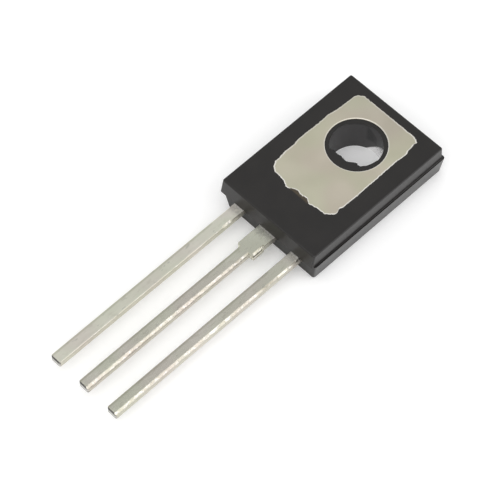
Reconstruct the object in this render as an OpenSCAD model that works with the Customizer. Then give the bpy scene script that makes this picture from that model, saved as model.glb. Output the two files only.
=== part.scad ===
// Thyristor in a flat three-lead moulded package, lying on its printed side.
// The screw hole's axis is the Z axis, the leads run towards -Y, and z = 0 is the printed side.
// The bare anode plate faces up. Plate and centre lead are one stamping of a two-gauge strip.

/* [Moulded body] */
// Width of both mould halves at the parting plane
body_w = 7.48; // [7.2:0.01:9]
// Length of both mould halves at the parting plane
body_l = 10.84; // [10.6:0.01:13]
// Thickness from the printed side to the mounting side
body_h = 2.5; // [2.45:0.01:3.2]
// Height of the parting plane above the printed side
parting_h = 1.5; // [1.4:0.01:1.7]
// How far each long side of the upper half draws in
upper_side_draft = 0.03; // [0:0.01:0.2]
// How far the lead end of the upper half draws in
upper_lead_draft = 0.18; // [0:0.01:0.3]
// How far the far end of the upper half draws in
upper_far_draft = 0.03; // [0:0.01:0.2]
// How far each long side of the lower half draws in
lower_side_draft = 0.23; // [0:0.01:0.4]
// How far the lead end of the lower half draws in
lower_lead_draft = 0.17; // [0:0.01:0.4]
// How far the far end of the lower half draws in
lower_far_draft = 0.04; // [0:0.01:0.4]
// Radius of the upper half's upright corners
upper_corner_r = 0.12; // [0.05:0.01:0.6]
// Radius of the lower half's upright corners
lower_corner_r = 0.16; // [0.05:0.01:0.6]
// How far the lower half sits to the right of the upper one
mould_shift_x = 0.11; // [0:0.01:0.2]
// How far the lower half sits towards the far end
mould_shift_y = 0.13; // [0:0.01:0.2]

/* [Screw hole] */
// Diameter of the hole through the plastic
hole_d = 3.2; // [2.8:0.01:3.4]
// From the hole's axis to the far end of the upper half
hole_to_end = 3.4; // [3.2:0.01:3.8]
// How far the plastic liner stops short of the plate's face
liner_recess = 0.12; // [0.1:0.01:0.4]

/* [Anode plate] */
// Width of the bare face
plate_w = 5.34; // [4.8:0.01:6]
// Length of the bare face
plate_l = 7.86; // [7.2:0.01:8]
// Thickness of the plate
plate_t = 0.9; // [0.8:0.01:1.1]
// Diameter of the plate's own hole, round the liner
plate_hole_d = 3.72; // [3.6:0.01:4]
// From the hole's axis to the far edge of the bare face
plate_to_edge = 2.83; // [2.5:0.01:2.9]
// Corner radius of the bare face
plate_corner_r = 0.5; // [0.2:0.01:0.8]
// How far the lip that locks the plate in the plastic stands out
lip_w = 0.25; // [0.1:0.01:0.3]
// Depth of that lip below the bare face
lip_depth = 0.5; // [0.3:0.01:0.7]
// Chamfer round the mouth of the plate's hole
rim_chamfer = 0.07; // [0.02:0.01:0.09]

/* [Leads] */
// Width of a lead
lead_w = 0.75; // [0.6:0.01:0.9]
// Thickness of a lead
lead_t = 0.5; // [0.4:0.01:0.6]
// Distance between neighbouring leads
lead_pitch = 2.29; // [2.2:0.01:2.54]
// Length of a lead outside the body
lead_len = 14.3; // [8:0.05:18]
// How far the row of leads sits to the right of the hole's axis
lead_shift = 0.12; // [0:0.01:0.15]
// Width of the centre lead's shoulder
shoulder_w = 1.25; // [1:0.01:1.6]
// Length of the centre lead's shoulder outside the body
shoulder_len = 1.8; // [1:0.01:3]
// Width of an outer lead's bond pad
pad_w = 1.5; // [1:0.01:1.6]
// Length of an outer lead's bond pad
pad_l = 1.1; // [0.8:0.01:1.3]
// Plastic between the body's lead end and a bond pad
pad_inset = 0.6; // [0.3:0.01:0.65]
// Length of the bend of the centre lead
bend_l = 0.8; // [0.6:0.01:1]
// From the chip's solder to the bend of the centre lead
bend_gap = 0.5; // [0.2:0.01:0.7]

/* [Chip and wires] */
// Side of the square chip
die_w = 2.2; // [1.6:0.01:2.4]
// Thickness of the chip
die_t = 0.25; // [0.15:0.01:0.3]
// From the hole's axis to the chip's centre
die_to_hole = 3.35; // [3.2:0.01:3.45]
// Thickness of the solder under the chip
solder_t = 0.05; // [0.02:0.01:0.08]
// How far the solder stands out round the chip
solder_rim = 0.1; // [0.05:0.01:0.12]
// Diameter of the cathode wire
cathode_wire_d = 0.3; // [0.2:0.01:0.38]
// Diameter of the gate wire
gate_wire_d = 0.15; // [0.1:0.01:0.2]
// How far a wire hangs below the line between its feet
wire_loop = 0.5; // [0.4:0.01:0.6]
// From the chip's centre to each of its bonds, across the package
bond_x = 0.55; // [0.3:0.01:0.7]

/* [Hidden] */
$fn = 64;

// Spare length of a cut past the face that it starts from
over = 1;
// Thickness of the thin layers that a mould half is drawn between
layer = 0.01;

// Heights of the lead frame, the solder and the chip
lead_bottom = parting_h - lead_t;
plate_bottom = body_h - plate_t;
solder_bottom = plate_bottom - solder_t;
die_bottom = solder_bottom - die_t;

// Places along the package
lead_end = hole_to_end - body_l;
lead_tip = lead_end - lead_len;
shoulder_end = lead_end - shoulder_len;
pad_start = lead_end + pad_inset;
pad_middle = pad_start + pad_l / 2;
plate_near = plate_to_edge - plate_l;
die_y = -die_to_hole;
bend_end = die_y - die_w / 2 - solder_rim - bend_gap;
bend_start = bend_end - bend_l;

// Places of the leads across the package
anode_x = lead_shift;
cathode_x = lead_shift + lead_pitch;
gate_x = lead_shift - lead_pitch;

// Outline of a wire's flattened foot in wire diameters: length, width, thickness
foot = [2.4, 1.4, 0.4];

// A block between two corners
module block(low, high) {
    translate(low) cube(high - low);
}

// A block between two corners, with round upright edges
module round_block(low, high, r) {
    height = high.z - low.z;
    translate([0, 0, low.z]) linear_extrude(height) {
        for (x = [low.x + r, high.x - r], y = [low.y + r, high.y - r])
            translate([x, y]) circle(r);
        translate([low.x + r, low.y]) square([high.x - low.x - 2 * r, high.y - low.y]);
        translate([low.x, low.y + r]) square([high.x - low.x, high.y - low.y - 2 * r]);
    }
}

// The outline of a mould half, drawn in from the parting plane, as a thin layer on one side of a plane
module half_outline(bottom, side_draft, lead_draft, far_draft, r) {
    reach = body_w / 2 - side_draft;
    round_block([-reach, lead_end + lead_draft, bottom],
        [reach, hole_to_end - far_draft, bottom + layer], r, $fn = 32);
}

// The half above the parting plane
module upper_half() {
    hull() {
        half_outline(parting_h, 0, 0, 0, upper_corner_r);
        half_outline(body_h - layer, upper_side_draft, upper_lead_draft, upper_far_draft,
            upper_corner_r);
    }
}

// The half below the parting plane, which sits a little off the upper one
module lower_half() {
    translate([mould_shift_x, mould_shift_y, 0]) hull() {
        half_outline(parting_h - layer, 0, 0, 0, lower_corner_r);
        half_outline(0, lower_side_draft, lower_lead_draft, lower_far_draft, lower_corner_r);
    }
}

// Black moulding round the lead frame, with the liner of the screw hole
module package_body() {
    plate_hole_r = plate_hole_d / 2;
    color([0.21, 0.20, 0.20]) difference() {
        union() {
            upper_half();
            lower_half();
        }
        translate([0, 0, -over]) cylinder(d = hole_d, h = body_h + 2 * over);
        translate([0, 0, body_h - liner_recess]) cylinder(r = plate_hole_r, h = liner_recess + over);
        translate([0, 0, body_h - rim_chamfer])
            cylinder(r = plate_hole_r + rim_chamfer, h = rim_chamfer + over);
        anode_plate();
        cathode_lead();
        gate_lead();
        thyristor_die();
        die_solder();
        cathode_wire();
        gate_wire();
    }
}

// Bare plate with its locking lip, and the centre lead that bends up into it
module anode_plate() {
    half_w = plate_w / 2;
    hole_r = plate_hole_d / 2;
    lip = [lip_w, lip_w, 0];
    color([0.73, 0.71, 0.64]) {
        difference() {
            union() {
                round_block([-half_w, plate_near, plate_bottom], [half_w, plate_to_edge, body_h],
                    plate_corner_r);
                round_block([-half_w, plate_near, plate_bottom] - lip,
                    [half_w, plate_to_edge, body_h - lip_depth] + lip, plate_corner_r + lip_w);
            }
            translate([0, 0, plate_bottom - over]) cylinder(r = hole_r, h = plate_t + 2 * over);
            translate([0, 0, body_h - rim_chamfer])
                cylinder(r1 = hole_r, r2 = hole_r + rim_chamfer, h = rim_chamfer);
        }
        translate([anode_x - shoulder_w / 2, 0, 0]) rotate([90, 0, 90]) linear_extrude(shoulder_w)
            polygon([
                [shoulder_end, lead_bottom], [bend_start, lead_bottom],
                [bend_end, plate_bottom], [die_y, plate_bottom],
                [die_y, plate_bottom + lead_t], [bend_end, plate_bottom + lead_t],
                [bend_start, parting_h], [shoulder_end, parting_h]
            ]);
        block([anode_x - lead_w / 2, lead_tip, lead_bottom],
            [anode_x + lead_w / 2, lead_end, parting_h]);
    }
}

// A straight outer lead that ends in a bond pad inside the body
module outer_lead(x) {
    color([0.71, 0.69, 0.62]) {
        block([x - lead_w / 2, lead_tip, lead_bottom], [x + lead_w / 2, pad_middle, parting_h]);
        block([x - pad_w / 2, pad_start, lead_bottom], [x + pad_w / 2, pad_start + pad_l, parting_h]);
    }
}

// Outer lead on the right, bonded to the chip's cathode
module cathode_lead() {
    outer_lead(cathode_x);
}

// Outer lead on the left, bonded to the chip's gate
module gate_lead() {
    outer_lead(gate_x);
}

// Silicon chip, soldered to the inner face of the plate
module thyristor_die() {
    color([0.35, 0.37, 0.40])
        block([-die_w / 2, die_y - die_w / 2, die_bottom], [die_w / 2, die_y + die_w / 2, solder_bottom]);
}

// Layer of solder between the chip and the plate
module die_solder() {
    reach = die_w / 2 + solder_rim;
    color([0.66, 0.67, 0.68])
        block([-reach, die_y - reach, solder_bottom], [reach, die_y + reach, plate_bottom]);
}

// A round wire that hangs in an arc between the chip's face and a lead's face, with flattened feet
module bond_wire(chip, lead, d) {
    run = lead - chip;
    span = norm(run);
    rise = lead_bottom - die_bottom;
    chord = norm([span, rise]);
    arc_r = (chord * chord / 4 + wire_loop * wire_loop) / (2 * wire_loop);
    highest = max(die_bottom, lead_bottom);
    reach = 2 * arc_r + d;
    color([0.80, 0.80, 0.80]) translate(chip) rotate([0, 0, atan2(run.y, run.x)]) {
        difference() {
            translate([0, 0, die_bottom]) rotate([0, -atan2(rise, span), 0])
                translate([chord / 2, 0, arc_r - wire_loop]) rotate([90, 0, 0])
                    rotate_extrude() translate([arc_r, 0]) circle(d = d);
            block([-reach, -d, highest], [reach, d, highest + reach]);
            block([-reach, -d, die_bottom], [span / 2, d, highest + over]);
            block([span / 2, -d, lead_bottom], [span + reach, d, highest + over]);
        }
        for (seat = [[0, die_bottom], [span, lead_bottom]])
            translate([seat[0] - foot.x * d / 2, -foot.y * d / 2, seat[1] - foot.z * d])
                cube(foot * d);
    }
}

// Wire from the chip's cathode to the right-hand lead
module cathode_wire() {
    bond_wire([bond_x, die_y], [cathode_x, pad_middle], cathode_wire_d);
}

// Wire from the chip's gate to the left-hand lead
module gate_wire() {
    bond_wire([-bond_x, die_y], [gate_x, pad_middle], gate_wire_d);
}

package_body();
anode_plate();
cathode_lead();
gate_lead();
thyristor_die();
die_solder();
cathode_wire();
gate_wire();
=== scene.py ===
import math

import bmesh
import bpy
from bpy.props import FloatProperty, FloatVectorProperty, PointerProperty
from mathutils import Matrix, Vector, noise


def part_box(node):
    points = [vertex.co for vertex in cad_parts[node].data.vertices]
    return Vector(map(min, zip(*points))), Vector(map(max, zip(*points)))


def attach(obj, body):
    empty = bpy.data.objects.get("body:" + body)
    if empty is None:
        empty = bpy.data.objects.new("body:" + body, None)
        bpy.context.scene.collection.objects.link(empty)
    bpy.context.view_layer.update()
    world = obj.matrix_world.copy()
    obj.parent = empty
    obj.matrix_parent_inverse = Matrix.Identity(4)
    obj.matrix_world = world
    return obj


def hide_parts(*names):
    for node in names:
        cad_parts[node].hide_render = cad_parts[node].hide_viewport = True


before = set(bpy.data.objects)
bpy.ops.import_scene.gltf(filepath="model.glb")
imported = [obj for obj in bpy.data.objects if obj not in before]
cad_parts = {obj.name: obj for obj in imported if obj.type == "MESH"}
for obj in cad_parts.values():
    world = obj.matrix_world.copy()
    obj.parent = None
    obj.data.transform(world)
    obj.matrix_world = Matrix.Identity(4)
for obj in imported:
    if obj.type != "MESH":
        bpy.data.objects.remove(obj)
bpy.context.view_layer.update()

bl_info = {
    "name": "Flat thyristor",
    "version": (1, 0, 0),
    "blender": (4, 5, 0),
    "location": "View3D > Sidebar > Thyristor",
    "description": "Dresses a flat three-lead thyristor: moulding, plate, leads, chip and stage",
    "category": "Object",
}

MM = 0.001

# Places of the solids, in millimetres, worked out from their boxes in the frame
BODY_LOW, BODY_HIGH = [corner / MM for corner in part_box("package_body")]
PLATE_LOW, PLATE_HIGH = [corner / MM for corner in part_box("anode_plate")]
CATHODE_LOW, CATHODE_HIGH = [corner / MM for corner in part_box("cathode_lead")]
GATE_LOW, GATE_HIGH = [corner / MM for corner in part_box("gate_lead")]
TOP_Z = BODY_HIGH.z
BOTTOM_Z = BODY_LOW.z
PARTING_Z = CATHODE_HIGH.z
LEAD_LOW_Z = CATHODE_LOW.z
LEAD_END_Y = BODY_LOW.y
TIP_Y = PLATE_LOW.y
CATHODE_X = (CATHODE_LOW.x + CATHODE_HIGH.x) / 2.0
GATE_X = (GATE_LOW.x + GATE_HIGH.x) / 2.0
ANODE_X = (CATHODE_X + GATE_X) / 2.0

# Sizes of the solids that their boxes don't show, in millimetres, and the places that follow
LEAD_W = 0.75
SHOULDER_W = 1.25
PLATE_LIP = 0.25
WINDOW_L = 7.86
BORE_R = 1.6
PLATE_HOLE_R = 1.86
LINER_DROP = 0.12
PARTING_BAND = 0.01
SHOULDER_X = ANODE_X + SHOULDER_W / 2.0
WINDOW_X = PLATE_HIGH.x - PLATE_LIP
WINDOW_FAR_Y = PLATE_HIGH.y - PLATE_LIP
WINDOW_NEAR_Y = WINDOW_FAR_Y - WINDOW_L
LINER_TOP_Z = TOP_Z - LINER_DROP

# Limits for finding parts of a mesh: lengths in millimetres, angles in radians, shares and spares
TOUCH = 0.0005
LEVEL = 0.001
BARE_DEPTH = 0.03
SLACK = 0.05
HOLE_CLEAR = 0.3
WALL = 0.4
LONG_EDGE = 0.5
SEAT_DEPTH = 0.6
FLAT = math.radians(0.4)
SMOOTH = math.radians(32.0)
GENTLE = 0.4
SHARP = 0.5
UPRIGHT = 0.2
FACING = 0.5
STRAIGHT = 0.9
TORN = 0.9
TINY = 1e-9
END_SPARE = 1e-6

# How round edges are made
ROUND_PROFILE = 0.5
ROUND_SEGMENTS = 4
FILLET_SEGMENTS = 3

# The edge of the flash round the bare plate, from the far left corner and then anticlockwise
FLASH_EDGE = [
    (-2.05, 2.80), (-2.35, 2.60), (-2.48, 2.35), (-2.48, 2.00), (-2.52, 1.20),
    (-2.55, 0.80), (-2.62, 0.55), (-2.65, 0.30), (-2.62, 0.00), (-2.62, -1.00),
    (-2.65, -1.50), (-2.65, -2.20), (-2.57, -2.50), (-2.58, -3.40), (-2.50, -3.90),
    (-2.50, -4.20), (-2.30, -4.52), (-2.00, -4.72), (-1.50, -4.75), (-1.20, -4.80),
    (-1.00, -4.88), (-0.85, -4.98), (-0.70, -5.00), (-0.60, -4.95), (-0.50, -4.83),
    (-0.35, -4.77), (-0.15, -4.70), (0.10, -4.77), (0.30, -4.80), (0.40, -4.72),
    (0.50, -4.70), (0.65, -4.73), (0.80, -4.82), (0.95, -4.92), (1.15, -4.85),
    (1.50, -4.78), (2.05, -4.75), (2.30, -4.55), (2.50, -4.35), (2.52, -4.15),
    (2.42, -4.00), (2.41, -3.85), (2.50, -3.70), (2.50, -3.20), (2.52, -2.50),
    (2.50, -2.00), (2.50, -1.00), (2.48, 0.00), (2.47, 0.90), (2.52, 1.20),
    (2.52, 1.60), (2.42, 1.85), (2.40, 2.20), (2.33, 2.40), (2.48, 2.50),
    (2.30, 2.66), (2.05, 2.78),
]
FLASH_MIDDLE = (0.0, -1.1)
FLASH_CUTS = 120
# Each wave along the torn edge: its height in millimetres and how many there are in one
TORN_WAVES = ((0.03, 6.0), (0.022, 15.0))

# The torn edge of the flash web in the hole, from right to left, and the arc of its root
WEB_EDGE = [
    (1.56, 0.10), (1.50, -0.28), (1.38, -0.60), (1.15, -0.90), (1.00, -0.92),
    (0.90, -0.85), (0.65, -1.00), (0.45, -1.15), (0.20, -1.20), (-0.10, -1.15),
    (-0.40, -1.20), (-0.70, -1.15), (-0.90, -1.22),
]
WEB_ARC = (-128.0, 5.0)
WEB_STEPS = 24
WEB_ROOT = 0.12
WEB_DROP = 0.015
WEB_WAVE = (0.05, 9.0)

# The pale rim on the plate along the flash, and the gap between the plate and the flash
RIM_POINTS = 480
RIM_ROOT = 0.05
RIM_HEIGHT = 0.004
RIM_DEPTH = 0.05
PLATE_GAP = 0.005

# Spans of each lead's right upper edge: how far from the moulding one starts, its radius and the share of it
ANODE_EDGE = (
    (-0.14, "plain_edge", 0.5), (2.06, "plain_edge", 1.2), (3.16, "rolled_edge", 0.5),
    (3.86, "rolled_edge", 1.0),
)
CATHODE_EDGE = (
    (-0.14, "plain_edge", 0.5), (1.96, "plain_edge", 1.2), (3.06, "rolled_edge", 0.45),
    (3.96, "rolled_edge", 0.7), (4.86, "rolled_edge", 0.85),
)
GATE_EDGE = ((-0.14, "plain_edge", 0.5), (1.86, "plain_edge", 1.0))
LEAD_MIDDLE = 7.56
WIDEST_EDGE = 0.36
EDGE_SEGMENTS = 6
EDGE_PROFILE = 0.37
CORNER_OUT = 0.1
CORNER_IN = 0.06

# How far from the moulding the tie bar was cut off each lead, and the stub that it left on the shoulder
ANODE_BAR = (0.83, 1.68)
CATHODE_BAR = (0.96, 1.71)
GATE_BAR = (0.96, 1.61)
BAR_SPARE = 0.05
STUB_FAR_Y = LEAD_END_Y - 0.92
STUB_NEAR_Y = LEAD_END_Y - 1.77
STUB_LOW_Z = LEAD_LOW_Z + 0.04
STUB_TOP_Z = PARTING_Z - 0.2
STUB_ROOT = 0.15
STUB_PROUD = 0.08
STUB_EDGE = 0.06

# Colours of the marks on the moulding, and its index of refraction
BORE_SKIN = (0.05, 0.0475, 0.0485)
# A painted dark reflection in the bore
BORE_PAINTED_REFLECTION = (0.008, 0.008, 0.008)
# A painted sheen in the bore, paler low down
PAINTED_SHEEN_LOW = (0.92, 0.91, 0.91)
PAINTED_SHEEN_HIGH = (0.4, 0.39, 0.39)
EPOXY_IOR = 1.53

# Colours of the marks on the metal
# A painted highlight on the rims round the hole and along the flash
PAINTED_RIM_HIGHLIGHT = (0.84, 0.82, 0.77)
ROOT_SMEAR = (0.36, 0.35, 0.33)
ROOT_LIP = (0.9, 0.88, 0.84)
DULL_SPECK = (0.34, 0.35, 0.31)
END_FACE = (0.46, 0.45, 0.435)
# Painted shade along the bottom and under the rolled top of the lead ends
END_BOTTOM_SHADE = (0.16, 0.155, 0.15)
END_TOP_SHADE = (0.06, 0.057, 0.053)
# Painted glints on the rolled edges
EDGE_GLINT = (0.95, 0.93, 0.91)
EDGE_PIT = (0.5, 0.48, 0.46)
# Painted shade in the groove above the tie bar's stub
BAR_GROOVE_SHADE = (0.19, 0.18, 0.155)

# Tints that the metal's colour is multiplied by, and how the left lead differs from the others
GREEN_TINT = (0.965, 1.0, 0.95)
PINK_TINT = (1.0, 0.975, 0.99)
DULL_TINT = (0.84, 0.83, 0.81)
FAR_TINT = (0.94, 0.945, 0.95)
ROLLED_TINT = (0.85, 0.815, 0.795)
# Flanks darker partly for their sheared finish and partly as painted shade
FLANK_TINT = (0.79, 0.765, 0.75)
# Painted shade along the left edges of the leads
LEFT_SHADE_TINT = (0.8, 0.8, 0.77)
# Painted shade on the right upper edges next to the moulding
ROOT_EDGE_SHADE_TINT = (0.55, 0.55, 0.53)
BELOW_TINT = (0.74, 0.73, 0.72)
TARNISH_TINT = (0.8, 0.79, 0.76)
# The left lead's paler colour is painted light
LEFT_PAINTED_LIGHT = 1.13
LEFT_DULLER = 0.1

# The stage, in metres
KEY_PLACE = (0.06, -0.14, 0.3)
KEY_SIZE = (0.3, 0.5)
SIDE_PLACE = (0.225, 0.12, 0.17)
SIDE_SIZE = (0.2, 0.36)
LAMP_AIM = (0.0, -0.008, 0.0)
FLOOR_SIZE = 4.0
FLOOR_DROP = 0.00001
SKY_LOW, SKY_HIGH = 0.2, 0.85
SENSOR = 36.0
CLIP = (0.01, 20.0)


class MouldingSettings(bpy.types.PropertyGroup):
    """Sizes and colours of the black moulding."""

    colour: FloatVectorProperty(
        name="Epoxy", description="Colour of the moulding compound",
        subtype="COLOR", size=3, min=0.0, max=1.0, default=(0.006, 0.0049, 0.0042),
    )
    thin_colour: FloatVectorProperty(
        name="Thin flash", description="Colour of flash thin enough to let the metal through",
        subtype="COLOR", size=3, min=0.0, max=1.0, default=(0.06, 0.044, 0.024),
    )
    roughness: FloatProperty(
        name="Roughness", description="Roughness of the moulded skin",
        subtype="FACTOR", min=0.0, max=1.0, default=0.33,
    )
    flash: FloatProperty(
        name="Flash thickness", description="Thickness of the flash on the plate, in mm",
        min=0.005, max=0.1, default=0.025,
    )
    web: FloatProperty(
        name="Web thickness", description="Thickness of the flash web in the hole, in mm",
        min=0.02, max=0.5, default=0.1,
    )
    top_edge: FloatProperty(
        name="Top edge", description="Radius of the edges round the top, in mm",
        min=0.005, max=0.11, default=0.08,
    )
    bottom_edge: FloatProperty(
        name="Bottom edge", description="Radius of the edges round the underside, in mm",
        min=0.005, max=0.14, default=0.03,
    )
    fillet: FloatProperty(
        name="Fillet", description="Radius of the corner between the upper half and the ledge, in mm",
        min=0.005, max=0.09, default=0.06,
    )


class MetalSettings(bpy.types.PropertyGroup):
    """Sizes and colours of the plated plate and leads."""

    plate_colour: FloatVectorProperty(
        name="Plate", description="Colour of the plating on the bare plate",
        subtype="COLOR", size=3, min=0.0, max=1.0, default=(0.705, 0.668, 0.55),
    )
    lead_colour: FloatVectorProperty(
        name="Leads", description="Colour of the plating on the leads",
        subtype="COLOR", size=3, min=0.0, max=1.0, default=(0.78, 0.765, 0.685),
    )
    plate_roughness: FloatProperty(
        name="Plate roughness", description="Roughness of the bare plate",
        subtype="FACTOR", min=0.0, max=1.0, default=0.42,
    )
    lead_roughness: FloatProperty(
        name="Lead roughness", description="Roughness of the leads",
        subtype="FACTOR", min=0.0, max=1.0, default=0.22,
    )
    plain_edge: FloatProperty(
        name="Plain edge", description="Radius of the leads' plain edges, in mm",
        min=0.005, max=0.2, default=0.05,
    )
    rolled_edge: FloatProperty(
        name="Rolled edge", description="Radius of the leads' rolled right edges, in mm",
        min=0.005, max=WIDEST_EDGE, default=0.33,
    )
    bar_cut: FloatProperty(
        name="Bar cut", description="Width of the bevel where the tie bar was cut away, in mm",
        min=0.01, max=0.24, default=0.12,
    )
    rim: FloatProperty(
        name="Rim", description="Width of the pale rim along the flash, in mm",
        min=0.01, max=0.3, default=0.07,
    )


class InnerSettings(bpy.types.PropertyGroup):
    """Colours of the pieces sealed in the moulding."""

    silicon: FloatVectorProperty(
        name="Silicon", description="Colour of the chip",
        subtype="COLOR", size=3, min=0.0, max=1.0, default=(0.12, 0.13, 0.15),
    )
    solder: FloatVectorProperty(
        name="Solder", description="Colour of the solder under the chip",
        subtype="COLOR", size=3, min=0.0, max=1.0, default=(0.42, 0.43, 0.45),
    )
    wire: FloatVectorProperty(
        name="Wire", description="Colour of the bond wires",
        subtype="COLOR", size=3, min=0.0, max=1.0, default=(0.6, 0.6, 0.6),
    )


class StageSettings(bpy.types.PropertyGroup):
    """The floor, the light and the camera."""

    floor: FloatVectorProperty(
        name="Floor", description="Colour of the floor",
        subtype="COLOR", size=3, min=0.0, max=1.0, default=(0.97, 0.97, 0.97),
    )
    floor_glow: FloatProperty(
        name="Floor glow", description="Plain white that the camera sees on top of the lit floor",
        subtype="FACTOR", min=0.0, max=1.0, default=0.11,
    )
    sky: FloatProperty(
        name="Sky", description="Strength of the even light near the horizon",
        min=0.0, max=2.0, default=0.79,
    )
    zenith: FloatProperty(
        name="Zenith", description="Strength of the even light straight above",
        min=0.0, max=2.0, default=0.61,
    )
    key: FloatProperty(
        name="Key", description="Power of the soft lamp overhead",
        subtype="POWER", unit="POWER", min=0.0, max=10.0, default=0.6,
    )
    side: FloatProperty(
        name="Side", description="Power of the panel behind on the right",
        subtype="POWER", unit="POWER", min=0.0, max=10.0, default=0.2,
    )
    eye: FloatVectorProperty(
        name="Eye", description="Where the camera stands",
        subtype="TRANSLATION", unit="LENGTH", size=3, default=(0.05367, -0.06162, 0.12278),
    )
    target: FloatVectorProperty(
        name="Target", description="The point that the camera looks at",
        subtype="TRANSLATION", unit="LENGTH", size=3, default=(-0.000305, -0.008387, 0.0),
    )
    lens: FloatProperty(
        name="Lens", description="Focal length on a 36 mm sensor",
        subtype="DISTANCE_CAMERA", min=10.0, max=400.0, default=180.03,
    )


class Sock:
    """One value in a shader, with Python's operators as Math nodes."""

    def __init__(self, nodes, socket):
        self.nodes = nodes
        self.socket = socket

    def maths(self, operation, first, second):
        return self.nodes.node("Math", {"operation": operation}, {0: first, 1: second})

    def __add__(self, other):
        return self.maths("ADD", self, other)

    __radd__ = __add__

    def __sub__(self, other):
        return self.maths("SUBTRACT", self, other)

    def __rsub__(self, other):
        return self.maths("SUBTRACT", other, self)

    def __mul__(self, other):
        return self.maths("MULTIPLY", self, other)

    __rmul__ = __mul__

    def at_least(self, other):
        return self.maths("MAXIMUM", self, other)

    def at_most(self, other):
        return self.maths("MINIMUM", self, other)

    def step(self, low, high):
        """0 below low, 1 above high and smooth between. Low above high turns it round."""
        turned = low > high
        spread = {"interpolation_type": "SMOOTHSTEP"}
        sockets = {"Value": self, "From Min": min(low, high), "From Max": max(low, high)}
        sockets["To Min"] = 1.0 if turned else 0.0
        sockets["To Max"] = 0.0 if turned else 1.0
        return self.nodes.node("MapRange", spread, sockets, "Result")


class Nodes:
    """The nodes of a material or of the sky."""

    def __init__(self, owner):
        owner.use_nodes = True
        self.tree = owner.node_tree
        self.tree.nodes.clear()

    def raw(self, kind, settings, sockets):
        """Adds a node, sets its settings first and then its sockets."""
        node = self.tree.nodes.new("ShaderNode" + kind)
        for key, value in settings.items():
            setattr(node, key, value)
        for key, value in sockets.items():
            socket = node.inputs[key]
            if isinstance(value, Sock):
                self.tree.links.new(value.socket, socket)
            elif hasattr(socket.default_value, "__len__"):
                wanted = len(socket.default_value)
                socket.default_value = (*value, 1.0)[:wanted]
            else:
                socket.default_value = value
        return node

    def node(self, kind, settings, sockets, output=0):
        """Adds a node and gives one of its outputs."""
        return Sock(self, self.raw(kind, settings, sockets).outputs[output])

    def axes(self, vector):
        """Splits a vector into its three values."""
        parts = self.raw("SeparateXYZ", {}, {"Vector": vector})
        return [Sock(self, parts.outputs[axis]) for axis in "XYZ"]


class Paint(Nodes):
    """A material's nodes, in the piece's own millimetres."""

    GRAIN_ROUGHNESS = 0.55

    def __init__(self, name):
        self.material = bpy.data.materials.new(name)
        super().__init__(self.material)
        place = self.node("TexCoord", {}, {}, "Object")
        scale = (1.0 / MM, 1.0 / MM, 1.0 / MM)
        self.place = self.node("Mapping", {}, {"Vector": place, "Scale": scale}, "Vector")
        self.x, self.y, self.z = self.axes(self.place)
        self.nx, self.ny = self.axes(self.node("NewGeometry", {}, {}, "Normal"))[:2]

    def reach(self):
        """The distance from the axis of the hole."""
        return self.node("Math", {"operation": "SQRT"}, {0: self.x * self.x + self.y * self.y})

    def grain(self, size, detail=2.0, stretch=(1.0, 1.0, 1.0), shift=(0.0, 0.0, 0.0)):
        """Noise about 0.5 with grains of a size in mm, stretched along the axes."""
        scale = tuple(1.0 / part for part in stretch)
        sockets = {"Vector": self.place, "Scale": scale, "Location": shift}
        place = self.node("Mapping", {}, sockets, "Vector")
        sockets = {"Vector": place, "Scale": 1.0 / size, "Detail": detail}
        sockets["Roughness"] = self.GRAIN_ROUGHNESS
        return self.node("TexNoise", {}, sockets)

    def mix(self, share, first, second, kind="MIX"):
        """Mixes two colours."""
        blend = {"data_type": "RGBA", "blend_type": kind}
        return self.node("Mix", blend, {0: share, 6: first, 7: second}, 2)

    def bump(self, height, depth, strength):
        """A normal from a height between 0 and 1 that stands for a depth in mm."""
        sockets = {"Height": height, "Distance": depth * MM, "Strength": strength}
        return self.node("Bump", {}, sockets, "Normal")

    def finish(self, sockets):
        """Puts the shader on and gives the material."""
        shader = self.node("BsdfPrincipled", {}, sockets, "BSDF")
        self.raw("OutputMaterial", {}, {"Surface": shader})
        return self.material


def take(piece):
    """Makes a piece the only selected object and the active one."""
    bpy.ops.object.select_all(action="DESELECT")
    piece.select_set(True)
    bpy.context.view_layer.objects.active = piece


def new_piece(name, mesh):
    """Adds an object for a mesh at the origin."""
    piece = bpy.data.objects.new(name, mesh)
    bpy.context.scene.collection.objects.link(piece)
    return piece


def copy_node(node_name, piece_name):
    """Copies a solid into a piece in millimetres, with flat faces joined, and stays in edit mode."""
    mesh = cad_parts[node_name].data.copy()
    mesh.name = piece_name
    mesh.materials.clear()
    piece = new_piece(piece_name, mesh)
    piece.scale = (1.0 / MM, 1.0 / MM, 1.0 / MM)
    take(piece)
    bpy.ops.object.transform_apply(location=False, rotation=False, scale=True)
    bpy.ops.mesh.customdata_custom_splitnormals_clear()
    bpy.ops.object.mode_set(mode="EDIT")
    bpy.ops.mesh.select_all(action="SELECT")
    bpy.ops.mesh.remove_doubles(threshold=TOUCH)
    bpy.ops.mesh.dissolve_limited(angle_limit=FLAT)
    return piece


def draw_loops(name, points, loops):
    """Adds a piece of points and closed loops of edges, given by their first point and count."""
    edges = []
    for start, count in loops:
        edges += [(start + index, start + (index + 1) % count) for index in range(count)]
    mesh = bpy.data.meshes.new(name)
    mesh.from_pydata(points, edges, [])
    piece = new_piece(name, mesh)
    take(piece)
    bpy.ops.object.mode_set(mode="EDIT")
    bpy.ops.mesh.select_all(action="SELECT")
    return piece


def thicken(way):
    """Extrudes the sheet in hand into a closed solid and leaves edit mode."""
    bpy.ops.mesh.select_all(action="SELECT")
    bpy.ops.mesh.extrude_region_move(TRANSFORM_OT_translate={"value": way})
    bpy.ops.mesh.select_all(action="SELECT")
    bpy.ops.mesh.normals_make_consistent(inside=False)
    bpy.ops.object.mode_set(mode="OBJECT")


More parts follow.
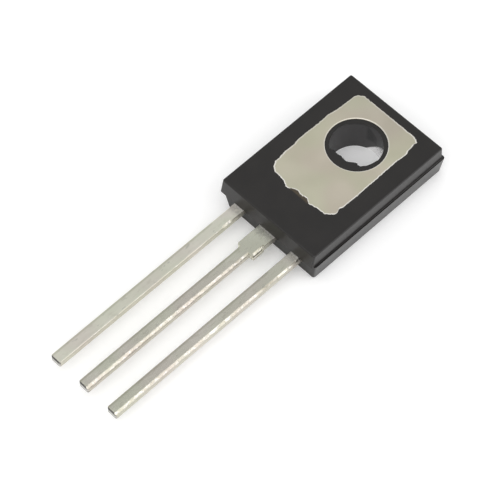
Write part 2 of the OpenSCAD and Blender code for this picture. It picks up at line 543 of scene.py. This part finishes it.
def pick(kind, test):
    """Selects the vertices, edges or faces in hand that pass a test, and nothing else."""
    bpy.ops.mesh.select_mode(type=kind)
    bpy.ops.mesh.select_all(action="DESELECT")
    mesh = bpy.context.edit_object.data
    shape = bmesh.from_edit_mesh(mesh)
    items = {"VERT": shape.verts, "EDGE": shape.edges, "FACE": shape.faces}[kind]
    found = [item for item in items if test(item)]
    for item in found:
        item.select_set(True)
    shape.select_flush_mode()
    bmesh.update_edit_mesh(mesh)
    if not found:
        raise RuntimeError("nothing was found to select")


def middle(edge):
    """The point half way along an edge."""
    return (edge.verts[0].co + edge.verts[1].co) / 2.0


def at_height(edge, height):
    """True for an edge that lies level at a height."""
    return all(abs(vert.co.z - height) < LEVEL for vert in edge.verts)


def round_edges(test, radius, segments):
    """Rounds the edges that pass a test."""
    pick("EDGE", test)
    bpy.ops.mesh.bevel(
        offset_type="OFFSET", offset=radius, segments=segments, profile=ROUND_PROFILE,
        affect="EDGES", clamp_overlap=False, loop_slide=False,
    )


def round_by_weight(piece, radius_of):
    """Rounds the sharp edges of the piece in hand, each by its own radius, and leaves edit mode."""
    mesh = bpy.context.edit_object.data
    shape = bmesh.from_edit_mesh(mesh)
    weight = shape.edges.layers.float.get("bevel_weight_edge")
    if weight is None:
        weight = shape.edges.layers.float.new("bevel_weight_edge")
    for edge in shape.edges:
        if edge.is_manifold and edge.calc_face_angle(0.0) > SHARP:
            edge[weight] = radius_of(edge) / WIDEST_EDGE
    bmesh.update_edit_mesh(mesh)
    bpy.ops.object.mode_set(mode="OBJECT")
    take(piece)
    bevel = piece.modifiers.new("edges", "BEVEL")
    bevel.limit_method = "WEIGHT"
    bevel.offset_type = "OFFSET"
    bevel.width = WIDEST_EDGE
    bevel.segments = EDGE_SEGMENTS
    bevel.profile = EDGE_PROFILE
    bevel.use_clamp_overlap = False
    bpy.ops.object.modifier_apply(modifier="edges")


def put_on(piece, node_name, material):
    """Scales a piece back to metres, smooths it, paints it and lets it stand for its solid."""
    bpy.ops.object.mode_set(mode="OBJECT")
    piece.scale = (MM, MM, MM)
    take(piece)
    bpy.ops.object.transform_apply(location=False, rotation=False, scale=True)
    bpy.ops.object.shade_smooth_by_angle(angle=SMOOTH)
    even = piece.modifiers.new("even", "WEIGHTED_NORMAL")
    even.keep_sharp = True
    bpy.ops.object.modifier_apply(modifier="even")
    piece.data.materials.clear()
    piece.data.materials.append(material)
    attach(piece, "root")
    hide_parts(node_name)


def join_solid(piece, other, operation="UNION"):
    """Joins another solid to a piece, or cuts it away, and removes the other."""
    take(piece)
    join = piece.modifiers.new("join", "BOOLEAN")
    join.operation = operation
    join.solver = "EXACT"
    join.object = other
    bpy.ops.object.modifier_apply(modifier="join")
    mesh = other.data
    bpy.data.objects.remove(other)
    bpy.data.meshes.remove(mesh)


def outline_reach(outline, centre, angle):
    """How far an outline is from its centre in a direction."""
    way = Vector((math.cos(angle), math.sin(angle)))
    best = None
    for first, second in zip(outline, outline[1:] + outline[:1]):
        start = Vector(first) - Vector(centre)
        side = Vector(second) - Vector(first)
        cross = way.x * side.y - way.y * side.x
        if abs(cross) < TINY:
            continue
        reach = (start.x * side.y - start.y * side.x) / cross
        share = (start.x * way.y - start.y * way.x) / cross
        crossed = reach > 0.0 and -END_SPARE <= share <= 1.0 + END_SPARE
        if crossed and (best is None or reach < best):
            best = reach
    if best is None:
        raise RuntimeError("the outline does not go round its centre")
    return best


def torn_reach(angle):
    """How far the torn edge of the flash is from the middle of the plate in a direction."""
    reach = outline_reach(FLASH_EDGE, FLASH_MIDDLE, angle)
    spot = Vector((math.cos(angle), math.sin(angle), 0.0)) * reach
    for height, count in TORN_WAVES:
        reach += height * noise.noise(spot * count)
    return reach


def on_plate(angle, reach):
    """The point at a reach from the middle of the plate in a direction."""
    return FLASH_MIDDLE[0] + reach * math.cos(angle), FLASH_MIDDLE[1] + reach * math.sin(angle)


def outside(vert):
    """True on the outer walls of the moulding, clear of its seats."""
    across = BODY_LOW.x + WALL < vert.co.x < BODY_HIGH.x - WALL
    return not across or not BODY_LOW.y + WALL < vert.co.y < BODY_HIGH.y - WALL


def in_window_wall(face, low):
    """True for the upright faces of the seat round the bare plate, above a height."""
    spot = face.calc_center_median()
    if abs(face.normal.z) > UPRIGHT or spot.z < low:
        return False
    across = abs(spot.x) < WINDOW_X + SLACK
    inside = across and WINDOW_NEAR_Y - SLACK < spot.y < WINDOW_FAR_Y + SLACK
    return inside and math.hypot(spot.x, spot.y) > PLATE_HOLE_R + HOLE_CLEAR


def epoxy_paint(name, settings):
    """Black moulding compound: satin skin, fine grain, faint flow clouds, thin brown flash, and a painted
    sheen and a painted dark reflection in the bore.
    """
    paint = Paint(name)
    cloud = paint.grain(1.6, 3.0)
    fine = paint.grain(0.05, 2.0)
    speck = paint.grain(0.16, 1.0).step(0.66, 0.74)
    pale = [part * 2.2 for part in settings.colour]
    colour = paint.mix((cloud * 0.6).step(0.1, 0.5) * 0.5, settings.colour, pale)
    # Flash at the plate's near end, so thin that it looks brown
    thin = paint.y.step(WINDOW_NEAR_Y - 0.07, WINDOW_NEAR_Y + 0.21)
    thin = thin * paint.y.step(WINDOW_NEAR_Y + 0.53, WINDOW_NEAR_Y + 0.43)
    thin = thin * paint.z.step(TOP_Z - 0.03, TOP_Z - 0.02)
    thin = thin * paint.x.step(-1.0, -0.5) * paint.x.step(1.2, 0.8)
    torn = (thin * (0.5 + paint.grain(0.12, 2.0))).step(0.3, 0.95)
    colour = paint.mix(torn * 0.85, colour, settings.thin_colour)
    # The bore, with a metallic patch of painted sheen on its right side that stands in for a bright
    # reflection, paler low down and higher towards the right
    bore = paint.reach().step(BORE_R + 0.04, BORE_R + 0.02)
    bore = bore * paint.z.step(LINER_TOP_Z - 0.12, LINER_TOP_Z - 0.2)
    right = paint.x + 0.56
    climb = right * 1.05 - paint.z
    gloss = bore * climb.step(-0.05, 0.08) * paint.y.step(-0.1, 0.1) * paint.x.step(1.25, 1.0)
    colour = paint.mix(bore, colour, BORE_SKIN)
    # A painted dark reflection on the bore's far side
    dark_reflection = bore * paint.x.step(-0.66, -0.4) * paint.x.step(0.28, 0.05) * paint.y.step(0.0, 0.2)
    dark_reflection = dark_reflection * paint.z.step(0.75, 1.1) * (paint.z + paint.x).step(1.85, 1.6)
    colour = paint.mix(dark_reflection * 0.85, colour, BORE_PAINTED_REFLECTION)
    # The painted sheen, paler low down and darker higher up
    painted_sheen = paint.mix(paint.z.step(0.45, 1.4), PAINTED_SHEEN_LOW, PAINTED_SHEEN_HIGH)
    colour = paint.mix(gloss, colour, painted_sheen)
    # The near end of the lower half is duller than the rest
    below = paint.z.step(PARTING_Z, PARTING_Z - 0.03) * paint.ny.step(-0.5, -0.8)
    below = below * paint.y.step(LEAD_END_Y + 0.4, LEAD_END_Y + 0.3)
    rough = settings.roughness - 0.05 + cloud * 0.1 + speck * 0.08 + (bore - gloss) * 0.15
    rough = rough - gloss * (settings.roughness - 0.2) + below * 0.22
    height = (fine * 0.6 + paint.grain(0.22, 2.0) * 0.4) * (1.0 - gloss)
    return paint.finish({
        "Base Color": colour, "Roughness": rough,
        "Metallic": gloss * (0.98 - right * 0.2 - paint.z * 0.2),
        "Normal": paint.bump(height, 0.006, 0.5), "IOR": EPOXY_IOR,
    })


class THYRISTOR_OT_moulding(bpy.types.Operator):
    """Make the black moulding with its flash round the plate and its web in the hole"""

    bl_idname = "thyristor.moulding"
    bl_label = "Moulding"

    def execute(self, context):
        settings = context.scene.thyristor_moulding
        piece = copy_node("package_body", "moulding")
        self.flash(settings.flash)
        self.fillet(settings.fillet)
        self.edges(settings)
        bpy.ops.object.mode_set(mode="OBJECT")
        self.web(piece, settings.web)
        put_on(piece, "package_body", epoxy_paint("moulded_epoxy", settings))
        return {"FINISHED"}

    def flash(self, thickness):
        """Draws a thin sheet in from the top of the seat's wall to the torn edge."""
        under = TOP_Z - thickness
        pick("FACE", lambda face: in_window_wall(face, TOP_Z - SEAT_DEPTH))
        bpy.ops.mesh.bisect(plane_co=(0.0, 0.0, under), plane_no=(0.0, 0.0, 1.0))
        pick("FACE", lambda face: in_window_wall(face, under))
        bpy.ops.mesh.extrude_region()
        mesh = bpy.context.edit_object.data
        shape = bmesh.from_edit_mesh(mesh)
        torn = shape.verts.layers.float.new("torn")
        for vert in shape.verts:
            vert[torn] = 1.0 if vert.select else 0.0
        bmesh.update_edit_mesh(mesh)

        def to_tear(edge):
            return edge.calc_length() > LONG_EDGE and all(vert[torn] > TORN for vert in edge.verts)

        pick("EDGE", to_tear)
        bpy.ops.mesh.subdivide(number_cuts=FLASH_CUTS)
        shape = bmesh.from_edit_mesh(mesh)
        torn = shape.verts.layers.float.get("torn")
        for vert in shape.verts:
            if vert[torn] > TORN:
                angle = math.atan2(vert.co.y - FLASH_MIDDLE[1], vert.co.x - FLASH_MIDDLE[0])
                vert.co.x, vert.co.y = on_plate(angle, torn_reach(angle))
        shape.verts.layers.float.remove(torn)
        bmesh.update_edit_mesh(mesh)

    def fillet(self, radius):
        """Fills the corner between the upper half and the ledge of the lower half."""

        def in_band(edge):
            heights = (PARTING_Z + PARTING_BAND, PARTING_Z - PARTING_BAND)
            level = any(at_height(edge, height) for height in heights)
            return level and edge.calc_face_angle(0.0) < GENTLE and all(outside(v) for v in edge.verts)

        def on_ledge(edge):
            inner = not edge.is_convex and edge.calc_face_angle(0.0) > SHARP
            level = at_height(edge, PARTING_Z)
            return level and inner and any(face.normal.z > STRAIGHT for face in edge.link_faces)

        pick("EDGE", in_band)
        bpy.ops.mesh.dissolve_edges(use_verts=True)
        round_edges(on_ledge, radius, FILLET_SEGMENTS)

    def edges(self, settings):
        """Rounds the edges round the top and round the underside."""

        def sharp_at(edge, height):
            level = at_height(edge, height) and all(outside(vert) for vert in edge.verts)
            return level and edge.is_convex and edge.calc_face_angle(0.0) > SHARP

        round_edges(lambda edge: sharp_at(edge, TOP_Z), settings.top_edge, ROUND_SEGMENTS)
        round_edges(lambda edge: sharp_at(edge, BOTTOM_Z), settings.bottom_edge, ROUND_SEGMENTS)
        bpy.ops.mesh.select_all(action="SELECT")
        bpy.ops.mesh.remove_doubles(threshold=LEVEL)

    def web(self, piece, thickness):
        """Makes the torn web of flash and joins it to the liner."""
        start, end = WEB_ARC
        points = []
        for index in range(WEB_STEPS + 1):
            angle = math.radians(start + (end - start) * index / WEB_STEPS)
            reach = BORE_R + WEB_ROOT
            points.append((reach * math.cos(angle), reach * math.sin(angle)))
        height, count = WEB_WAVE
        for first, second in zip(WEB_EDGE, WEB_EDGE[1:]):
            between = (Vector(first) + Vector(second)) / 2.0
            between.y += height * noise.noise(Vector((between.x * count, between.y * count, 0.0)))
            points += [first, tuple(between)]
        points.append(WEB_EDGE[-1])
        high = LINER_TOP_Z - WEB_DROP
        sheet = draw_loops("web", [(x, y, high) for x, y in points], [(0, len(points))])
        bpy.ops.mesh.edge_face_add()
        thicken((0.0, 0.0, -thickness))
        join_solid(piece, sheet)


class MetalPaint(Paint):
    """Matt tin plating, with the marks of moulding, shearing and wear, and painted highlights and shade,
    laid on one by one.
    """

    def __init__(self, name, settings, bare, lead_x, lead_colour, lead_roughness):
        super().__init__(name)
        self.settings = settings
        self.bare = bare
        self.lead_left = lead_x - LEAD_W / 2.0
        self.lead_roughness = lead_roughness
        self.on_lead = self.y.step(LEAD_END_Y + 0.2, LEAD_END_Y)
        self.flank = (self.nx * self.nx).step(0.55, 0.9) * self.on_lead
        self.rolled = self.nx.step(0.2, 0.5) * (1.0 - self.flank) * self.on_lead
        self.cloud = self.grain(2.6, 1.5, shift=(3.0, 1.0, 0.0))
        self.mottle = self.grain(0.12, 3.0)
        self.lines = self.grain(0.045, 2.0, stretch=(1.0, 16.0, 1.0))
        self.shade = self.mix(self.on_lead, settings.plate_colour, lead_colour)

    def tint(self, share, factor):
        """Multiplies the shade by a factor, over a share of the surface."""
        self.shade = self.mix(share, self.shade, factor, "MULTIPLY")

    def cover(self, share, colour):
        """Covers the shade with a colour, over a share of the surface."""
        self.shade = self.mix(share, self.shade, colour)

    def clouds(self):
        """Soft clouds, faint green and pink tints, drawn lines and a slightly darker far end."""
        stain = self.grain(3.0, 1.0, shift=(0.0, 7.0, 2.0)).step(0.35, 0.65)
        self.tint(1.0, self.mix(stain, GREEN_TINT, PINK_TINT))
        dull = self.mix(1.0, self.shade, DULL_TINT, "MULTIPLY")
        self.cover((self.mottle * 0.6 + self.lines * 0.4).step(0.62, 0.3) * 0.08, dull)
        self.shade = self.mix(self.cloud.step(0.42, 0.7) * 0.4 + 0.3, dull, self.shade)
        self.tint(self.y.step(0.6, 2.2) * self.x.step(1.8, 0.6), FAR_TINT)

    def rims(self):
        """Painted highlights on the rims round the plate's hole and along the flash, paler towards the
        right. Gives where they lie.
        """
        hole = self.reach().step(PLATE_HOLE_R + 0.07, PLATE_HOLE_R + 0.03)
        hole = hole * self.z.step(self.bare - 0.1, self.bare - 0.05) * 0.7
        raised = self.z.step(self.bare + 0.0015, self.bare + 0.003) * (1.0 - self.on_lead)
        to_right = (self.x - self.y * 0.6).step(-2.5, 1.5)
        rim_highlight = hole.at_least(raised) * (0.25 + self.grain(0.4, 2.0) * 0.5 + to_right * 0.45)
        rim_highlight = rim_highlight.at_most(1.0)
        self.cover(rim_highlight, PAINTED_RIM_HIGHLIGHT)
        return rim_highlight

    def roots(self):
        """Leads dulled at the moulding. Gives where."""
        root = self.y.step(LEAD_END_Y - 0.75, LEAD_END_Y - 0.25) * self.on_lead
        smear = root * self.grain(0.25, 2.0).step(0.25, 0.6)
        self.cover(smear * 0.5, ROOT_SMEAR)
        lip = self.y.step(LEAD_END_Y - 0.12, LEAD_END_Y - 0.07) * self.on_lead
        self.cover(lip * 0.5, ROOT_LIP)
        return smear

    def specks(self):
        """Dull specks on the leads. Gives where."""
        speck = self.grain(0.22, 1.0, stretch=(1.0, 2.5, 1.0)).step(0.66, 0.74) * self.on_lead
        self.cover(speck * 0.35, DULL_SPECK)
        return speck

    def ends(self):
        """The sheared ends, with a painted shade line under the rolled top and painted shade along the
        bottom.
        """
        end = self.ny.step(-0.2, -0.5) * self.y.step(TIP_Y + 0.12, TIP_Y + 0.06)
        line = self.z.step(PARTING_Z - 0.22, PARTING_Z - 0.17)
        low_shade = self.z.step(LEAD_LOW_Z + 0.14, LEAD_LOW_Z + 0.1)
        self.cover(end * (1.0 - line) * (1.0 - low_shade) * 0.85, END_FACE)
        self.cover(end * low_shade * 0.85, END_BOTTOM_SHADE)
        self.cover(end * line * 0.95, END_TOP_SHADE)

    def sides(self):
        """Darker rolled edges; flanks darker partly for their sheared finish and partly as painted shade;
        painted shade along the left edges and on the right edges next to the moulding; and darker rolled
        edges below the bar cuts.
        """
        self.tint(self.rolled, ROLLED_TINT)
        # The flanks are darker partly for their sheared finish and partly as painted shade
        self.tint(self.flank, FLANK_TINT)
        # Painted shade along the left edges
        left = (self.x - self.lead_left).step(0.21, 0.08) * (1.0 - self.flank)
        self.tint(left * self.y.step(STUB_NEAR_Y + 0.01, STUB_NEAR_Y - 0.29), LEFT_SHADE_TINT)
        # Painted shade on the right upper edges next to the moulding
        self.tint(self.rolled * self.y.step(STUB_FAR_Y - 0.06, STUB_FAR_Y), ROOT_EDGE_SHADE_TINT)
        below = self.rolled * self.y.step(STUB_NEAR_Y + 0.08, STUB_NEAR_Y + 0.02)
        self.tint(below * self.y.step(STUB_NEAR_Y - 1.39, STUB_NEAR_Y - 0.99), BELOW_TINT)

    def uneven(self):
        """Painted glints and pits on the rolled edges, and faint tarnish on the upper faces."""
        glint = self.grain(0.2, 3.0, stretch=(1.0, 2.0, 1.0), shift=(2.0, 4.0, 0.0))
        self.cover(glint.step(0.45, 0.7) * self.rolled * 0.55, EDGE_GLINT)
        pit = self.grain(0.22, 3.0, stretch=(1.0, 2.2, 1.0), shift=(9.0, 3.0, 0.0))
        self.cover(pit.step(0.46, 0.3) * self.rolled * 0.35, EDGE_PIT)
        tarnish = self.grain(0.3, 3.0, stretch=(0.8, 2.0, 1.0), shift=(1.0, 8.0, 0.0))
        upper = self.on_lead * (1.0 - self.rolled) * (1.0 - self.flank)
        self.tint(tarnish.step(0.52, 0.72) * upper * 0.5, TARNISH_TINT)

    def groove(self):
        """Painted shade in the groove above the stub of the tie bar."""
        across = self.x.step(SHOULDER_X - 0.025, SHOULDER_X - 0.005)
        across = across * self.x.step(SHOULDER_X + 0.105, SHOULDER_X + 0.085)
        along = self.y.step(STUB_NEAR_Y + 0.01, STUB_NEAR_Y + 0.06)
        along = along * self.y.step(STUB_FAR_Y - 0.06, STUB_FAR_Y - 0.12)
        up = self.z.step(STUB_TOP_Z - 0.015, STUB_TOP_Z)
        up = up * self.z.step(STUB_TOP_Z + 0.09, STUB_TOP_Z + 0.075)
        self.cover(across * along * up * 0.75, BAR_GROOVE_SHADE)

    def dress(self):
        """Lays all the marks on, in order, and gives the material."""
        self.clouds()
        rim_highlight = self.rims()
        smear = self.roots()
        speck = self.specks()
        self.ends()
        self.sides()
        self.uneven()
        self.groove()
        calm = self.settings.plate_roughness - 0.05 + self.mottle * 0.06 + self.cloud * 0.05
        drawn = self.lead_roughness - 0.04 + self.mottle * 0.06
        drawn = drawn + smear * 0.14 + speck * 0.1 + self.flank * 0.12
        dents = self.grain(0.42, 2.0, stretch=(0.6, 1.5, 0.6)) * self.on_lead
        crumb = self.grain(0.2, 3.0, shift=(5.0, 0.0, 1.0)) * self.nx.step(0.1, 0.35) * self.on_lead
        height = self.mottle * 0.03 + self.lines * 0.02 + dents * 0.7 + crumb * 1.1
        return self.finish({
            # The rims' painted highlight is matt rather than metallic
            "Base Color": self.shade, "Metallic": 1.0 - rim_highlight * 0.75,
            "Roughness": calm + self.on_lead * (drawn - calm),
            "Normal": self.bump(height, 0.03, 0.7),
        })


def along_lead(distance):
    """The place along a lead at a distance from the moulding."""
    return LEAD_END_Y - distance


def lead_edges(piece, spans, settings):
    """Cuts a lead into spans and rounds its edges, the right upper one by its span's radius."""
    for distance in [start for start, radius, share in spans] + [LEAD_MIDDLE]:
        bpy.ops.mesh.select_all(action="SELECT")
        bpy.ops.mesh.bisect(plane_co=(0.0, along_lead(distance), 0.0), plane_no=(0.0, 1.0, 0.0))

    def radius_of(edge):
        spot = middle(edge)
        if spot.y > LEAD_END_Y + SLACK:
            return 0.0
        way = (edge.verts[1].co - edge.verts[0].co).normalized()
        if abs(way.z) > STRAIGHT:
            return CORNER_OUT if edge.is_convex else CORNER_IN
        upper = spot.z > PARTING_Z - SLACK and abs(way.y) > STRAIGHT
        if not upper or not any(face.normal.x > FACING for face in edge.link_faces):
            return settings.plain_edge
        passed = [span for span in spans if spot.y < along_lead(span[0])]
        radius, share = passed[-1][1:]
        return getattr(settings, radius) * share

    round_by_weight(piece, radius_of)


def bar_cut(piece, right, cut, size):
    """Shears a crisp bevel off a lead's right upper edge, where the tie bar was cut away."""
    start, end = [along_lead(distance) for distance in cut]
    corners = [
        (right - size - BAR_SPARE, start, PARTING_Z + BAR_SPARE),
        (right + BAR_SPARE, start, PARTING_Z - size - BAR_SPARE),
        (right + BAR_SPARE, start, PARTING_Z + BAR_SPARE),
    ]
    shear = draw_loops("shear", corners, [(0, len(corners))])
    bpy.ops.mesh.edge_face_add()
    thicken((0.0, end - start, 0.0))
    join_solid(piece, shear, "DIFFERENCE")


class THYRISTOR_OT_plate(bpy.types.Operator):
    """Make the bare anode plate with the centre lead, one stamping"""

    bl_idname = "thyristor.plate"
    bl_label = "Plate and centre lead"

    def execute(self, context):
        settings = context.scene.thyristor_metal
        piece = copy_node("anode_plate", "plate")
        bare = TOP_Z - context.scene.thyristor_moulding.flash - PLATE_GAP
        pick("VERT", lambda vert: vert.co.z > TOP_Z - BARE_DEPTH)
        bpy.ops.transform.translate(value=(0.0, 0.0, bare - TOP_Z))
        bpy.ops.object.mode_set(mode="OBJECT")
        self.rim(piece, settings.rim, bare)
        bpy.ops.object.mode_set(mode="EDIT")
        lead_edges(piece, ANODE_EDGE, settings)
        bar_cut(piece, SHOULDER_X, ANODE_BAR, settings.bar_cut)
        self.stub(piece)
        paint = MetalPaint("plated_plate", settings, bare, ANODE_X,
                           settings.lead_colour, settings.lead_roughness)
        put_on(piece, "anode_plate", paint.dress())
        return {"FINISHED"}

    def stub(self, piece):
        """Leaves the rounded stub of the tie bar on the right side of the shoulder."""
        low = Vector((SHOULDER_X - STUB_ROOT, STUB_NEAR_Y, STUB_LOW_Z))
        high = Vector((SHOULDER_X + STUB_PROUD, STUB_FAR_Y, STUB_TOP_Z))
        bpy.ops.object.select_all(action="DESELECT")
        bpy.ops.mesh.primitive_cube_add(size=1.0, location=(low + high) / 2.0)
        block = bpy.context.object
        block.scale = high - low
        bpy.ops.object.transform_apply(location=True, rotation=False, scale=True)
        bpy.ops.object.mode_set(mode="EDIT")
        round_edges(lambda edge: middle(edge).x > SHOULDER_X, STUB_EDGE, ROUND_SEGMENTS)
        bpy.ops.object.mode_set(mode="OBJECT")
        join_solid(piece, block)

    def rim(self, piece, width, bare):
        """Raises a rim a few thousandths high on the plate along the torn edge of the flash."""
        turns = [2.0 * math.pi * index / RIM_POINTS for index in range(RIM_POINTS)]
        reaches = [torn_reach(turn) for turn in turns]
        points = []
        for offset in (-width, RIM_ROOT):
            for turn, reach in zip(turns, reaches):
                slant = max(abs(math.cos(turn)), abs(math.sin(turn)))
                points.append((*on_plate(turn, reach + offset / slant), bare + RIM_HEIGHT))
        ring = draw_loops("rim", points, [(0, RIM_POINTS), (RIM_POINTS, RIM_POINTS)])
        bpy.ops.mesh.bridge_edge_loops()
        thicken((0.0, 0.0, -RIM_DEPTH))
        join_solid(piece, ring)


class THYRISTOR_OT_outer_leads(bpy.types.Operator):
    """Make the two outer leads, the cathode on the right and the gate on the left"""

    bl_idname = "thyristor.outer_leads"
    bl_label = "Outer leads"

    def execute(self, context):
        settings = context.scene.thyristor_metal
        colour, roughness = settings.lead_colour, settings.lead_roughness
        # The left lead is a little paler, painted light for its slightly different tilt, and duller than the
        # other two
        pale = [min(1.0, part * LEFT_PAINTED_LIGHT) for part in colour]
        dull = roughness + LEFT_DULLER
        for node, name, spans, cut, lead_x, finish in (
            ("cathode_lead", "right_lead", CATHODE_EDGE, CATHODE_BAR, CATHODE_X, (colour, roughness)),
            ("gate_lead", "left_lead", GATE_EDGE, GATE_BAR, GATE_X, (pale, dull)),
        ):
            piece = copy_node(node, name)
            lead_edges(piece, spans, settings)
            bar_cut(piece, lead_x + LEAD_W / 2.0, cut, settings.bar_cut)
            paint = MetalPaint("plated_" + name, settings, TOP_Z, lead_x, *finish)
            put_on(piece, node, paint.dress())
        return {"FINISHED"}


class THYRISTOR_OT_inner(bpy.types.Operator):
    """Paint the chip, its solder and the bond wires that are sealed inside"""

    bl_idname = "thyristor.inner"
    bl_label = "Inner pieces"

    def execute(self, context):
        settings = context.scene.thyristor_inner
        # Each piece's material, colour, roughness and size of grain in millimetres
        finishes = {
            "thyristor_die": ("silicon", settings.silicon, 0.18, 0.3),
            "die_solder": ("solder", settings.solder, 0.48, 0.12),
            "cathode_wire": ("aluminium_wire", settings.wire, 0.3, 0.08),
            "gate_wire": ("gate_wire_aluminium", settings.wire, 0.3, 0.05),
        }
        for node, (name, colour, roughness, size) in finishes.items():
            paint = Paint(name)
            mottle = paint.grain(size, 2.0)
            dark = [part * 0.85 for part in colour]
            pale = [min(1.0, part * 1.12) for part in colour]
            material = paint.finish({
                "Base Color": paint.mix(mottle.step(0.3, 0.7), dark, pale), "Metallic": 1.0,
                "Roughness": roughness - 0.05 + mottle * 0.1,
                "Normal": paint.bump(mottle, 0.002, 0.4),
            })
            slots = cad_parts[node].data.materials
            slots.clear()
            slots.append(material)
        return {"FINISHED"}


class THYRISTOR_OT_stage(bpy.types.Operator):
    """Set the white floor, the soft light and the camera"""

    bl_idname = "thyristor.stage"
    bl_label = "Stage"

    def execute(self, context):
        settings = context.scene.thyristor_stage
        self.floor(settings)
        self.sky(context.scene, settings)
        self.lamp("overhead", settings.key, KEY_PLACE, KEY_SIZE)
        self.lamp("side_panel", settings.side, SIDE_PLACE, SIDE_SIZE)
        self.camera(context.scene, settings)
        context.scene.view_settings.view_transform = "Standard"
        return {"FINISHED"}

    def floor(self, settings):
        """Adds a plain floor, with a glow for what the camera, a reflection or clear material sees."""
        bpy.ops.object.select_all(action="DESELECT")
        bpy.ops.mesh.primitive_plane_add(size=FLOOR_SIZE, location=(0.0, 0.0, 0.0))
        floor = bpy.context.object
        floor.name = "floor"
        bpy.ops.object.mode_set(mode="EDIT")
        bpy.ops.mesh.select_all(action="SELECT")
        bpy.ops.transform.translate(value=(0.0, 0.0, -FLOOR_DROP))
        bpy.ops.object.mode_set(mode="OBJECT")
        material = bpy.data.materials.new("floor")
        nodes = Nodes(material)
        path = nodes.raw("LightPath", {}, {})
        rays = ("Is Camera Ray", "Is Glossy Ray", "Is Transmission Ray")
        camera, mirror, clear = [Sock(nodes, path.outputs[ray]) for ray in rays]
        seen = camera.at_least(mirror).at_least(clear)
        matt = nodes.node("BsdfDiffuse", {}, {"Color": settings.floor})
        glow = nodes.node("Emission", {}, {"Strength": seen * settings.floor_glow})
        both = nodes.node("AddShader", {}, {0: matt, 1: glow})
        nodes.raw("OutputMaterial", {}, {"Surface": both})
        floor.data.materials.append(material)

    def sky(self, scene, settings):
        """Sets an even light that changes a little from the horizon to the zenith."""
        scene.world = bpy.data.worlds.new("sky")
        nodes = Nodes(scene.world)
        up = nodes.axes(nodes.node("TexCoord", {}, {}, "Generated"))[2]
        sockets = {"Value": up, "From Min": SKY_LOW, "From Max": SKY_HIGH}
        sockets.update({"To Min": settings.sky, "To Max": settings.zenith})
        level = nodes.node("MapRange", {}, sockets, "Result")
        light = nodes.node("Background", {}, {"Color": (1.0, 1.0, 1.0), "Strength": level})
        nodes.raw("OutputWorld", {}, {"Surface": light})

    def aim(self, thing, place, target):
        """Puts a lamp or the camera in its place and turns it to a point."""
        bpy.context.scene.collection.objects.link(thing)
        thing.location = place
        way = Vector(target) - Vector(place)
        thing.rotation_euler = way.to_track_quat("-Z", "Y").to_euler()

    def lamp(self, name, power, place, size):
        """Adds a soft lamp of a power, place and size."""
        data = bpy.data.lights.new(name, "AREA")
        data.energy = power
        data.shape = "RECTANGLE"
        data.size, data.size_y = size
        self.aim(bpy.data.objects.new(name, data), place, LAMP_AIM)

    def camera(self, scene, settings):
        """Adds the camera at the photograph's viewing angle."""
        data = bpy.data.cameras.new("camera")
        data.lens = settings.lens
        data.sensor_width = SENSOR
        data.clip_start, data.clip_end = CLIP
        scene.camera = bpy.data.objects.new("camera", data)
        self.aim(scene.camera, settings.eye, settings.target)


class THYRISTOR_PT_panel(bpy.types.Panel):
    """The thyristor's pieces and their settings"""

    bl_idname = "THYRISTOR_PT_panel"
    bl_label = "Thyristor"
    bl_space_type = "VIEW_3D"
    bl_region_type = "UI"
    bl_category = "Thyristor"

    def draw(self, context):
        for operator, group in (
            ("thyristor.moulding", "thyristor_moulding"), ("thyristor.plate", "thyristor_metal"),
            ("thyristor.outer_leads", None), ("thyristor.inner", "thyristor_inner"),
            ("thyristor.stage", "thyristor_stage"),
        ):
            box = self.layout.box()
            box.operator(operator)
            if group:
                settings = getattr(context.scene, group)
                for name in settings.__annotations__:
                    box.prop(settings, name)


GROUPS = {
    "thyristor_moulding": MouldingSettings, "thyristor_metal": MetalSettings,
    "thyristor_inner": InnerSettings, "thyristor_stage": StageSettings,
}
CLASSES = (
    *GROUPS.values(), THYRISTOR_OT_moulding, THYRISTOR_OT_plate, THYRISTOR_OT_outer_leads,
    THYRISTOR_OT_inner, THYRISTOR_OT_stage, THYRISTOR_PT_panel,
)


def register():
    for item in CLASSES:
        bpy.utils.register_class(item)
    for name, group in GROUPS.items():
        setattr(bpy.types.Scene, name, PointerProperty(type=group))


def unregister():
    for name in GROUPS:
        delattr(bpy.types.Scene, name)
    for item in reversed(CLASSES):
        bpy.utils.unregister_class(item)


def main():
    register()
    bpy.ops.thyristor.stage()
    bpy.ops.thyristor.moulding()
    bpy.ops.thyristor.plate()
    bpy.ops.thyristor.outer_leads()
    bpy.ops.thyristor.inner()


if __name__ == "__main__":
    main()
